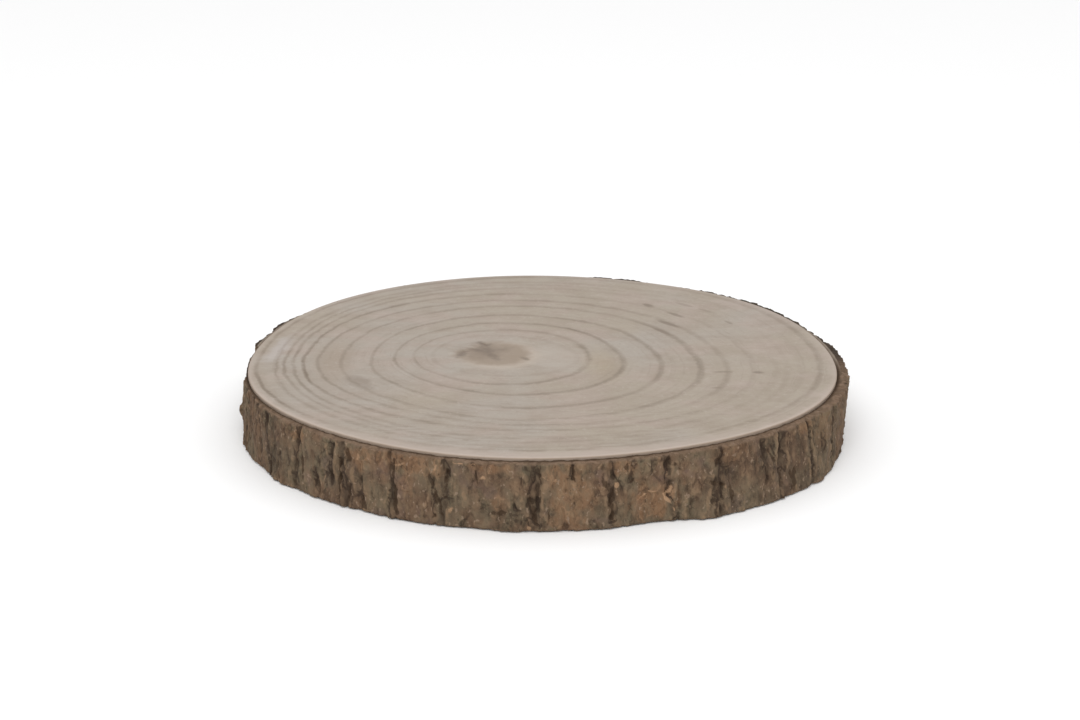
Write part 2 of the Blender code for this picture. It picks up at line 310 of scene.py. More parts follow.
# Camera, from the perspective of the photograph: it looks down at the slice from in front
PHOTO_SIZE = (1080, 720)
FOCAL_PIXELS = 2374.3
SENSOR_WIDTH = 36.0
CAMERA_DISTANCE = 1080.0
CAMERA_ELEVATION = 18.2
AIM_PIXEL = (545.5, 358.3)
AIM_POINT = (0.78, -2.33, 30.0)


def smooth(t):
    """Rise from 0 to 1 with level ends."""
    t = np.clip(t, 0.0, 1.0)
    return t * t * (3.0 - 2.0 * t)


def lumps(angle, level, across, along, seed):
    """Random smooth bumps from -1 to 1 over the side, each about across by along millimetres."""
    count = round(TURN * WOOD_RADIUS / across)
    rows = math.ceil(THICKNESS / along) + 3
    heights = np.random.default_rng(seed).uniform(-1.0, 1.0, (count, rows))
    u = np.asarray(angle) / TURN * count
    v = np.asarray(level) / along + 1.0
    i = np.floor(u).astype(int)
    j = np.clip(np.floor(v).astype(int), 0, rows - 2)
    fu = smooth(u - i)
    fv = smooth(v - j)
    low = heights[i % count, j] * (1.0 - fu) + heights[(i + 1) % count, j] * fu
    high = heights[i % count, j + 1] * (1.0 - fu) + heights[(i + 1) % count, j + 1] * fu
    return low * (1.0 - fv) + high * fv


def offset(angle, middle):
    """Signed angle from a middle given in degrees, from minus half a turn to half a turn."""
    return (np.asarray(angle) - math.radians(middle) + math.pi) % TURN - math.pi


def near(angle, middle, half):
    """1 about a middle given in degrees, falling off to 0 at half the stretch to either side."""
    return smooth(2.0 - 2.0 * np.abs(offset(angle, middle)) / math.radians(half))


def all_fissures():
    """The fissures seen in the photograph, and random ones like them round the hidden back."""
    rng = np.random.default_rng(FISSURE_SEED)
    found = list(FISSURES_SEEN)
    at = BACK_START
    while at < BACK_END:
        width = rng.uniform(2.6, 6.0)
        depth = 0.5 + 0.21 * width
        whole = rng.random() < 0.7
        low = 0.0 if whole else rng.choice([0.0, 0.4])
        high = 1.0 if whole else low + 0.6
        found.append((at % 360.0, width, depth, rng.uniform(-1.4, 1.4), low, high))
        at += rng.uniform(4.0, 9.5)
    return found


FISSURES = all_fissures()


def hidden_marks():
    """Random dark cracks and hollows round the hidden back, like the ones seen."""
    rng = np.random.default_rng(MARK_SEED)
    found = []
    for _ in range(HIDDEN_MARK_COUNT):
        place = (rng.uniform(-14.0, 202.0), rng.uniform(3.0, 26.0))
        half_sizes = (rng.uniform(0.5, 1.6), rng.uniform(1.5, 8.0))
        found.append(place + half_sizes + (rng.normal(0.0, 16.0), rng.uniform(0.6, 0.95)))
    return found


HIDDEN_MARKS = hidden_marks()


def fissure_cut(angle, level):
    """Depth cut by the fissures below the plates' surface."""
    height = np.asarray(level) / THICKNESS
    cut = np.zeros(np.broadcast(angle, level).shape)
    stray = STRAY * lumps(angle, level, *STRAY_LUMPS)
    for at, width, depth, lean, low, high in FISSURES:
        aside = offset(angle, at) - math.radians(lean) * (height - 0.5)
        away = np.abs(aside * WOOD_RADIUS + stray) / width
        across = 1.0 - smooth((away - 0.5 * FLOOR_SHARE) / WALL_SHARE)
        along = np.ones_like(height)
        if low > 0.0:
            along = along * smooth((height - low) / FISSURE_END + 0.5)
        if high < 1.0:
            along = along * smooth((high - height) / FISSURE_END + 0.5)
        cut = np.maximum(cut, depth * across * along)
    return cut


def wood_radius(angle):
    """Distance from the middle to the edge of the wood."""
    radius = WOOD_RADIUS
    for turns, height, crest in OUTLINE:
        radius = radius + height * np.cos(turns * np.asarray(angle) - math.radians(crest))
    return radius


def chip_share(angle, level, chip):
    """How far a chip has taken the bark away, from 0 to 1."""
    middle, half, bottom, _ = chip
    inside = smooth((math.radians(half) - np.abs(offset(angle, middle))) * WOOD_RADIUS / 3.0 + 0.5)
    ragged = bottom + 1.6 * lumps(angle, np.zeros_like(level), 7.0, ROUND_ONLY, 5)
    return inside * smooth((level - ragged) / 2.0 + 0.5)


def bark_thickness(angle, level):
    """Distance from the edge of the wood to the outside of the bark, as in the part's source."""
    height = level / THICKNESS
    plates = BARK_LOW * (1.0 - height) + BARK_HIGH * height
    for middle, reach, low, high in SWELLINGS:
        plates = plates + near(angle, middle, reach) * (low * (1.0 - height) + high * height)
    for middle, at_level, radius, raised in KNOBS:
        away = np.hypot(offset(angle, middle) * WOOD_RADIUS, level - at_level)
        plates = plates + raised * smooth(1.3 - 1.3 * away / radius)
    for across, along, raised, seed in PLATE_LUMPS:
        plates = plates + raised * lumps(angle, level, across, along, seed)
    bark = np.maximum(plates - fissure_cut(angle, level), THINNEST_BARK)
    for chip in CHIPS:
        gone = chip_share(angle, level, chip)
        thin = chip[3] + 0.25 * lumps(angle, level, 5.0, 7.5, 6)
        bark = bark * (1.0 - gone) + np.minimum(bark, thin) * gone
    return bark


def fissure_cracks(angle, level):
    """Depth of the dark cracks that wander along the fissures."""
    height = level / THICKNESS
    deep = np.zeros(angle.shape)
    stray = STRAY * lumps(angle, level, *STRAY_LUMPS)
    for at, width, _, lean, low, high in FISSURES:
        aside = (offset(angle, at) - math.radians(lean) * (height - 0.5)) * WOOD_RADIUS + stray
        within = np.abs(aside) < width
        along = smooth((height - low) / 0.1 + 0.7) * smooth((high - height) / 0.1 + 0.7)
        for share, half, depth, seed in FISSURE_CRACKS:
            wander = 0.9 * lumps(angle, level, 9.0, 4.5, seed)
            wander = wander + 0.4 * lumps(angle, level, 5.0, 1.8, seed + 10)
            broken = smooth(1.4 * lumps(angle, level, 11.0, 6.0, seed + 20) + 0.9)
            across = smooth(1.3 - np.abs(aside - share * width + wander) / half)
            deep = np.maximum(deep, depth * across * broken * along * within)
    return deep


def flakes(angle, level, across, along, seed):
    """Irregular flakes over the side: a random number from 0 to 1 for each, and 0 at its border, 1 inside."""
    count = round(TURN * WOOD_RADIUS / across)
    rows = math.ceil(THICKNESS / along) + 5
    rng = np.random.default_rng(seed)
    aside = rng.uniform(0.05, 0.95, (count, rows))
    above = rng.uniform(0.05, 0.95, (count, rows))
    tone = rng.uniform(0.0, 1.0, (count, rows))
    u = angle / TURN * count + 0.40 * lumps(angle, level, 0.7 * across, 0.5 * along, seed + 100)
    v = level / along + 2.0 + 0.30 * lumps(angle, level, 0.6 * across, 0.6 * along, seed + 200)
    first = np.full(u.shape, np.inf)
    second = np.full(u.shape, np.inf)
    number = np.zeros(u.shape)
    for di in (-1, 0, 1):
        for dj in (-1, 0, 1):
            i = np.floor(u).astype(int) + di
            j = np.clip(np.floor(v).astype(int) + dj, 0, rows - 1)
            away = np.hypot(i + aside[i % count, j] - u, j + above[i % count, j] - v)
            nearer = away < first
            second = np.where(nearer, first, np.minimum(second, away))
            number = np.where(nearer, tone[i % count, j], number)
            first = np.where(nearer, away, first)
    return number, smooth((second - first) / CREASE_WIDTH)


def bark_relief(angle, level):
    """Distance from the edge of the wood to the outside of the bark, with its cracks, flakes and grain."""
    aside = np.zeros(angle.shape)
    above = np.zeros(angle.shape)
    for across, along, far, seed in RAGGED:
        aside = aside + far * lumps(angle, level, across, along, seed)
        above = above + 1.4 * far * lumps(angle, level, across, along, seed + 5)
    bent = angle + aside / WOOD_RADIUS
    lifted = np.clip(level + above, 0.0, THICKNESS)
    whole = bark_thickness(bent, lifted)
    filled = FILLED + UNEVEN_FLOOR * lumps(angle, level, 2.0, 3.2, 63)
    filled = filled + 0.35 * smooth((9.0 - level) / 8.0)
    dark = strokes(angle, level, DARK_MARKS + HIDDEN_MARKS, 44)
    reach = whole + filled * fissure_cut(bent, lifted) - fissure_cracks(bent, lifted) - MARK_DEPTH * dark
    for across, along, raised, crease, seed in FLAKES:
        number, inside = flakes(bent, level, across, along, seed)
        open_share = smooth(0.55 + 0.8 * lumps(angle, level, 8.0, 9.0, seed + 50))
        reach = reach + raised * (2.0 * number - 1.0) * inside - crease * (1.0 - inside) * open_share
    for across, along, raised, seed in BARK_GRAIN:
        reach = reach + raised * lumps(angle, level, across, along, seed)
    return np.maximum(reach, np.minimum(0.5, whole))


def blurred(field, reach):
    """The field averaged over a few steps round the side and up and down it."""
    for _ in range(2):
        field = sum(np.roll(field, step, axis=1) for step in range(-reach, reach + 1)) / (2 * reach + 1)
        padded = np.concatenate([field[:1]] * reach + [field] + [field[-1:]] * reach)
        field = sum(padded[step:step + len(field)] for step in range(2 * reach + 1)) / (2 * reach + 1)
    return field


def patches(angle, level, rows):
    """How far ragged patches cover the bark, from 0 to 1."""
    covered = np.zeros(angle.shape)
    ragged = 0.45 * lumps(angle, level, 3.0, 4.0, 41) + 0.3 * lumps(angle, level, 1.4, 2.0, 42)
    for middle, at_level, half_width, half_height, strength in rows:
        aside = offset(angle, middle) * WOOD_RADIUS / half_width
        above = (level - at_level) / half_height
        covered = np.maximum(covered, strength * smooth(1.5 - np.hypot(aside, above) + ragged))
    return covered


def strokes(angle, level, rows, seed):
    """How far ragged oval strokes cover the bark, from 0 to 1."""
    covered = np.zeros(angle.shape)
    bend = 0.5 * lumps(angle, level, 3.0, 3.0, seed + 10)
    ragged = 0.5 * lumps(angle, level, 1.3, 1.6, seed)
    for middle, at_level, half_width, half_height, lean, strength in rows:
        aside = offset(angle, middle) * WOOD_RADIUS + bend
        above = level - at_level
        turn = math.radians(lean)
        across = (aside * math.cos(turn) - above * math.sin(turn)) / half_width
        along = (aside * math.sin(turn) + above * math.cos(turn)) / half_height
        covered = np.maximum(covered, strength * smooth(1.5 - np.hypot(across, along) + ragged))
    return covered


def bark_rows():
    """Distance beyond the wood, level, and the level that colours are taken from, for every row of the bark
    from the upper groove to the lower one."""
    angle = np.arange(BARK_COLUMNS) * TURN / BARK_COLUMNS
    flat = np.zeros_like(angle)
    upper = THICKNESS - BARK_DROP
    lower = BARK_LIFT
    rows = []

    def add(beyond, level, colour_level):
        rows.append((beyond + flat, level + flat, colour_level + flat))

    first = bark_relief(angle, upper + flat)
    last = bark_relief(angle, lower + flat)
    inner = np.minimum(GROOVE_WIDTH, 0.7 * first)
    rough = 0.12 * lumps(angle, flat, 1.6, ROUND_ONLY, 51)
    bitten = 0.9 * smooth(1.6 * lumps(angle, flat, 3.4, ROUND_ONLY, 53) - 0.35)
    bitten = bitten + 0.3 * lumps(angle, flat, 1.5, ROUND_ONLY, 54)
    worn = flat
    for middle, half, far in WORN_TOP:
        worn = worn + far * near(angle, middle, half)
    groove = THICKNESS - GROOVE_DEPTH
    add(-0.3, groove - 0.6, THICKNESS)
    add(0.2, groove - 0.15, THICKNESS)
    add(0.5 * inner, groove, THICKNESS)
    for step in range(TOP_ROWS):
        part = step / (TOP_ROWS - 1)
        beyond = inner + (np.maximum(first - EDGE_ROUND, 0.85 * first) - inner) * part
        uneven = 0.16 * lumps(angle, part * 20.0 + flat, 1.8, 6.0, 52) + rough
        add(beyond, upper - (0.25 + 0.5 * bitten + worn) * part ** 2 + uneven, THICKNESS)
    edge = upper - 0.25 - 0.3 * EDGE_ROUND - 0.7 * bitten - worn
    add(np.maximum(first - 0.25 * EDGE_ROUND, 0.95 * first), edge + 0.5 * rough, upper)
    start = edge - 1.2 * EDGE_ROUND
    for step in range(SIDE_ROWS):
        part = step / (SIDE_ROWS - 1)
        level = start * (1.0 - part) + (lower + 1.2 * EDGE_ROUND) * part
        add(bark_relief(angle, level), level, level)
    add(np.maximum(last - 0.3 * EDGE_ROUND, 0.95 * last), lower + 0.4 * EDGE_ROUND, lower)
    for step in range(UNDER_ROWS):
        part = step / (UNDER_ROWS - 1)
        outer = np.maximum(last - EDGE_ROUND, 0.85 * last)
        add(outer * (1.0 - part) + 0.35 * part, lower * (1.0 - 0.3 * part) + 0.5 * (0.12 + rough), 0.0)
    add(-0.3, 0.7, 0.0)
    return angle, rows


def new_object(name, content):
    """Put a mesh, lamp or camera in the scene."""
    made = bpy.data.objects.new(name, content)
    bpy.context.scene.collection.objects.link(made)
    return made


def new_mesh(name, points, faces, corner_uv, marks, material):
    """Make an object from points in millimetres, with its colour marks stored on the points."""
    mesh = bpy.data.meshes.new(name)
    mesh.from_pydata((points * 0.001).tolist(), [], faces)
    layer = mesh.uv_layers.new(name="OFBake")
    layer.data.foreach_set("uv", corner_uv.astype(np.float32).ravel())
    for mark, values in marks.items():
        stored = mesh.attributes.new(mark, "FLOAT", "POINT")
        stored.data.foreach_set("value", values.astype(np.float32).ravel())
    mesh.materials.append(material)
    mesh.shade_smooth()
    mesh.update()
    return new_object(name, mesh)


def quads(columns, count, rows):
    """Corner numbers of the faces between the first rows and the ones after them, out of count rows that run
    once round, and each face's column and row."""
    i, k = np.meshgrid(np.arange(columns), np.arange(rows))
    j = (i + 1) % columns
    after = (k + 1) % count
    corners = [k * columns + i, after * columns + i, after * columns + j, k * columns + j]
    return np.stack(corners, axis=2).reshape(-1, 4), i, k


def inside_box(points):
    """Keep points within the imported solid's box."""
    low = np.array(CAD_LOW) * 1000.0 + BOX_MARGIN
    high = np.array(CAD_HIGH) * 1000.0 - BOX_MARGIN
    return np.clip(points, [low[0], low[1], 0.0], [high[0], high[1], THICKNESS])


def make_bark(material):
    angle, rows = bark_rows()
    beyond = np.array([row[0] for row in rows])
    level = np.array([row[1] for row in rows])
    colour_level = np.array([row[2] for row in rows])
    count, columns = beyond.shape
    around = np.broadcast_to(angle, beyond.shape)
    reach = wood_radius(around) + beyond
    points = np.stack(
        [reach * np.cos(around) - CENTRE[0], reach * np.sin(around) - CENTRE[1], level], axis=2
    )
    dark_edge = np.zeros_like(beyond)
    for middle, half in DARK_EDGES:
        dark_edge = np.maximum(dark_edge, near(around, middle, half))
    side = slice(3 + TOP_ROWS, count - UNDER_ROWS - 2)
    # How far the bark lies below the bark around it: the material paints shade in the deeper places
    hollow = np.zeros_like(beyond)
    hollow[side] = blurred(beyond[side], 3) - beyond[side]
    big, small = (flakes(around, colour_level, row[0], row[1], row[4])[0] for row in FLAKES)
    face_up = np.zeros_like(beyond)
    face_up[2:3 + TOP_ROWS] = 1.0
    face_up[-2 - UNDER_ROWS:] = 1.0
    here = (around, colour_level)
    marks = {
        "cut": fissure_cut(*here),
        "hollow": hollow,
        "tone": 0.55 * big + 0.45 * small,
        "warm": patches(*here, WARM_PATCHES),
        "shade": patches(*here, SHADED_PATCHES),
        "pale": strokes(*here, PALE_CHIPS, 43),
        "dark": strokes(*here, DARK_MARKS + HIDDEN_MARKS, 44),
        "gone": np.maximum.reduce([chip_share(*here, chip) for chip in CHIPS]),
        "face_up": face_up,
        "beyond": beyond,
        "level": level,
        "seen": smooth((0.06 - np.sin(around)) / 0.25),
        "front": np.maximum(-np.sin(around), 0.0) ** 2,
        "dark_edge": dark_edge,
    }
    faces, ii, kk = quads(columns, count, count)
    per_strip = columns // BARK_STRIPS
    strip = ii // per_strip
    u0 = (ii % per_strip) / per_strip * 0.98 + 0.01
    u1 = (ii % per_strip + 1) / per_strip * 0.98 + 0.01
    v0 = (strip + 0.02 + 0.96 * kk / count) / BARK_STRIPS
    v1 = (strip + 0.02 + 0.96 * (kk + 1) / count) / BARK_STRIPS
    corner_uv = np.stack([u0, v0, u0, v1, u1, v1, u1, v0], axis=2).reshape(-1, 2)
    flat_marks = {mark: values.reshape(-1) for mark, values in marks.items()}
    points = inside_box(points.reshape(-1, 3))
    return new_mesh("bark", points, faces.tolist(), corner_uv, flat_marks, material)


def ring_share(number, angle):
    """Share of the way from the pith to the bark at which a growth ring ends."""
    row = RINGS[number]
    share = row[0] + np.zeros_like(angle)
    for turns in (1, 2, 3):
        height, crest = row[2 * turns - 1], row[2 * turns]
        share = share + height * np.cos(turns * (angle - math.radians(crest)))
    if PITH_SHARE < row[0] < 1.0:
        share = share + 0.004 * row[0] * lumps(angle, 0.0 * angle, 50.0, ROUND_ONLY, RING_SEED + number)
    return share


def line_strength(number, angle):
    """How dark the line at the end of a growth ring is in each direction."""
    mean, wave, crest = RINGS[number][7:]
    faded = 0.8 + 0.3 * lumps(angle, 0.0 * angle, 26.0, ROUND_ONLY, FADE_SEED + number)
    return (mean + wave * np.cos(angle - math.radians(crest))) * faded


def edge_from_pith(angle):
    """Distance from the pith to the edge of the wood in each direction."""
    dense = np.arange(2880) * TURN / 2880
    x = wood_radius(dense) * np.cos(dense) - PITH[0]
    y = wood_radius(dense) * np.sin(dense) - PITH[1]
    way = np.arctan2(y, x) % TURN
    order = np.argsort(way)
    return np.interp(angle, way[order], np.hypot(x, y)[order], period=TURN)


def crack_depth(x, y):
    """Depth of the drying cracks at points given from the pith."""
    depth = np.zeros(x.shape)
    for start, end, width, deep in CRACKS:
        along = np.array(end) - np.array(start)
        part = ((x - start[0]) * along[0] + (y - start[1]) * along[1]) / (along @ along)
        kink = 0.8 * np.sin(5.0 * part + 3.0 * start[0])
        side = ((x - start[0]) * -along[1] + (y - start[1]) * along[0]) / np.hypot(*along) + kink * part
        away = np.hypot(side, np.maximum(np.abs(part - 0.5) - 0.5, 0.0) * np.hypot(*along))
        thin = width * 0.5 * (1.15 - np.clip(part, 0.0, 1.0))
        depth = np.maximum(depth, deep * smooth(1.2 - 0.8 * away / thin))
    return depth


def wood_rows(angle, rows_per_ring):
    """Rows of the wood's face from the pith out to the rim: their shares, and their ages counted in rings."""
    edges = [0.0 * angle] + [ring_share(n, angle) for n in range(len(RINGS))]
    rows = []
    for n in range(len(RINGS)):
        steps = PITH_ROWS if n == 0 and rows_per_ring > UNDER_RING_ROWS else rows_per_ring
        for step in range(steps):
            part = step / steps
            rows.append((edges[n] * (1.0 - part) + edges[n + 1] * part, n + part, edges[n + 1] - edges[n]))
    return rows[1:]


def make_wood(material):
    angle = np.arange(WOOD_COLUMNS) * TURN / WOOD_COLUMNS
    edge = edge_from_pith(angle)
    hub = np.array([PITH[0] - CENTRE[0], PITH[1] - CENTRE[1]])
    lines = [np.zeros_like(angle)] + [line_strength(n, angle) for n in range(len(RINGS))]
    left = np.maximum(-np.cos(angle), 0.0)
    last_age = float(len(RINGS))
    pieces = []
    names = ("age", "ring", "line", "left", "to_rim", "crack", "under")
    marks = {name: [] for name in names}

    def add(radius, level, age, ring, under):
        x = radius * np.cos(angle)
        y = radius * np.sin(angle)
        crack = crack_depth(x, y) * (1.0 - under)
        pieces.append(np.stack([hub[0] + x, hub[1] + y, level - crack], axis=1))
        line = lines[int(np.clip(round(age), 0, len(RINGS)))]
        for name, values in zip(names, (age, ring, line, left, edge - radius, crack, under)):
            marks[name].append(values + 0.0 * angle)

    rim_ring = edge * (1.0 - ring_share(len(RINGS) - 2, angle))
    for share, age, ring in wood_rows(angle, RING_ROWS):
        if (edge * (1.0 - share)).min() > RIM_CLEAR:
            add(edge * share, THICKNESS, age, edge * ring, 0.0)
    for turn in (0.0, 0.25, 0.5, 0.75, 1.0):
        inward = RIM_ROUND * (1.0 - math.sin(0.5 * math.pi * turn))
        drop = 0.5 * RIM_ROUND * (1.0 - math.cos(0.5 * math.pi * turn))
        add(edge - inward, THICKNESS - drop, last_age, rim_ring, 0.0)
    add(edge, THICKNESS - RIM_DEPTH, last_age, rim_ring, 0.0)
    add(edge, 1.0, last_age, rim_ring, 1.0)
    add(edge, 0.15, last_age, rim_ring, 1.0)
    add(edge - RIM_ROUND, 0.0, last_age, rim_ring, 1.0)
    for share, age, ring in wood_rows(angle, UNDER_RING_ROWS)[::-1]:
        if (edge * (1.0 - share)).min() > RIM_CLEAR:
            add(edge * share, 0.0, age, edge * ring, 1.0)

    count = len(pieces)
    columns = WOOD_COLUMNS
    hubs = np.array([[hub[0], hub[1], THICKNESS], [hub[0], hub[1], 0.0]])
    hubs[0, 2] -= crack_depth(np.zeros(1), np.zeros(1))[0]
    points = np.concatenate([np.concatenate(pieces), hubs])
    at_hubs = {"ring": [20.0, 20.0], "to_rim": [100.0, 100.0], "under": [0.0, 1.0]}
    flat_marks = {
        mark: np.concatenate([np.concatenate(values), at_hubs.get(mark, [0.0, 0.0])])
        for mark, values in marks.items()
    }
    sheet = quads(columns, count, count - 1)[0]
    i = np.arange(columns)
    j = (i + 1) % columns
    top_hub = np.full(columns, count * columns)
    upper_fan = np.stack([top_hub, i, j], axis=1)
    lower_fan = np.stack([top_hub + 1, (count - 1) * columns + j, (count - 1) * columns + i], axis=1)
    faces = sheet.tolist() + upper_fan.tolist() + lower_fan.tolist()
    corners = np.concatenate([sheet.ravel(), upper_fan.ravel(), lower_fan.ravel()])
    under = flat_marks.pop("under")[corners] > 0.5
    wall_rows = [k for k in range(count) if flat_marks["to_rim"][k * columns] < 0.01 * RIM_ROUND]
    span = 2.2 * WOOD_RADIUS
    grow = 1.0 + 0.02 * np.isin(corners // columns, wall_rows) * (THICKNESS - points[corners, 2]) / THICKNESS
    u = 0.25 + points[corners, 0] * grow / span * 0.5
    v = 0.25 + points[corners, 1] * grow / span * 0.5
    corner_uv = np.stack([np.where(under, u + 0.5, u), v], axis=1)
    return new_mesh("wood", points, faces, corner_uv, flat_marks, material)


def linear(red, green, blue):
    """A colour given as 0 to 255 screen values, as the linear values that shaders use."""
    def one(value):
        value = value / 255.0
        return value / 12.92 if value <= 0.04045 else ((value + 0.055) / 1.055) ** 2.4
    return (one(red), one(green), one(blue), 1.0)


class Shader:
    """A material and short ways to add the nodes that make its pattern."""

    def __init__(self, name, roughness):
        self.material = bpy.data.materials.new(name)
        self.material.use_nodes = True
        self.tree = self.material.node_tree
        self.surface = self.tree.nodes["Principled BSDF"]
        self.surface.inputs["Roughness"].default_value = roughness
        self.place = self.add("TexCoord", {})["Object"]
        self.colour = None

    def put(self, socket, value):
        """Set an input to a constant, or link it to another node's output."""
        if isinstance(value, bpy.types.NodeSocket):
            self.tree.links.new(value, socket)
        else:
            socket.default_value = value

    def add(self, kind, inputs, **settings):
        """The outputs of a new node, made with these settings and inputs."""
        node = self.tree.nodes.new("ShaderNode" + kind)
        for name, value in settings.items():
            setattr(node, name, value)
        for name, value in inputs.items():
            self.put(node.inputs[name], value)
        return node.outputs

    def mark(self, name):
        return self.add("Attribute", {}, attribute_name=name)["Fac"]

    def math(self, operation, *values):
        return self.add("Math", dict(enumerate(values)), operation=operation)[0]

    def times(self, first, second):
        return self.math("MULTIPLY", first, second)

    def shaken(self, value, *noises):
        """A value moved up and down by noises, each given with how far it moves the value from end to end."""
        for noise, far in zip(noises[::2], noises[1::2]):
            value = self.math("MULTIPLY_ADD", self.math("SUBTRACT", noise, 0.5), far, value)
        return value

    def stretch(self, scale, vector=None):
        """Position, or another vector, scaled differently along X, Y and Z."""
        return self.add("Mapping", {"Vector": self.place if vector is None else vector, "Scale": scale})[0]

    def bent(self, scale, waves, far):
        """Position pushed about by a noise, then scaled differently along X, Y and Z."""
        noise = self.add("TexNoise", {"Vector": self.place, "Scale": waves, "Detail": 3.0})["Color"]
        push = {0: noise, 1: (far, far, far), 2: self.place}
        return self.stretch(scale, self.add("VectorMath", push, operation="MULTIPLY_ADD")[0])

    def cell_lines(self, vector, scale, width):
        """1 on thin lines between irregular cells, 0 inside them."""
        cells = self.add("TexVoronoi", {"Vector": vector, "Scale": scale}, feature="DISTANCE_TO_EDGE")
        return self.span(cells["Distance"], 0.3 * width, width, 1.0, 0.0)

    def noise(self, stretch, waves, detail, rough=0.55, warp=0.0):
        """A noise from 0 to 1 with so many waves to a metre, stretched along X, Y and Z."""
        inputs = {"Scale": waves, "Detail": detail, "Roughness": rough, "Distortion": warp}
        return self.add("TexNoise", {"Vector": self.stretch(stretch), **inputs})[0]

    def noise_along(self, value, detail):
        """A noise that changes with one value only."""
        inputs = {"W": value, "Scale": 1.0, "Detail": detail}
        return self.add("TexNoise", inputs, noise_dimensions="1D")[0]

    def span(self, value, low, high, to_low=0.0, to_high=1.0):
        """Map values between low and high to another span, cut off at its ends."""
        inputs = {"Value": value, "From Min": low, "From Max": high, "To Min": to_low, "To Max": to_high}
        return self.add("MapRange", inputs, interpolation_type="SMOOTHSTEP")[0]

    def along_y(self):
        return self.add("SeparateXYZ", {0: self.place})["Y"]

    def spot(self, middle, half_length, half_width, turn, noise, sharp=0.45, deep=0.01):
        """1 inside an oval spot given in millimetres, 0 outside, with an uneven edge; deep is in metres."""
        inputs = {
            "Vector": self.place,
            "Location": (0.001 * middle[0], 0.001 * middle[1], 0.001 * THICKNESS),
            "Rotation": (0.0, 0.0, math.radians(turn)),
            "Scale": (0.001 * half_length, 0.001 * half_width, deep),
        }
        inside = self.add("Mapping", inputs, vector_type="TEXTURE")[0]
        away = self.add("VectorMath", {0: inside}, operation="LENGTH")["Value"]
        return self.span(self.shaken(away, noise, 1.5 * (1.0 - sharp)), sharp, SPOT_EDGE, 1.0, 0.0)

    def mix(self, share, first, second):
        return self.add("Mix", {"Factor": share, "A": first, "B": second}, data_type="RGBA")["Result"]

    def paint(self, share, red, green, blue):
        """Lay a share of a colour, given as 0 to 255 screen values, over the colour so far."""
        self.colour = self.mix(share, self.colour, linear(red, green, blue))

    def bump(self, height, distance, strength, before=None):
        """Fine relief, in metres, on top of the relief before it."""
        inputs = {"Distance": distance, "Strength": strength, "Height": height}
        if before is not None:
            inputs["Normal"] = before
        return self.add("Bump", inputs)[0]

    def finished(self, roughness, normal):
        """The material, with its colour, roughness and fine relief on the surface."""
        for name, value in (("Base Color", self.colour), ("Roughness", roughness), ("Normal", normal)):
            self.put(self.surface.inputs[name], value)
        return self.material


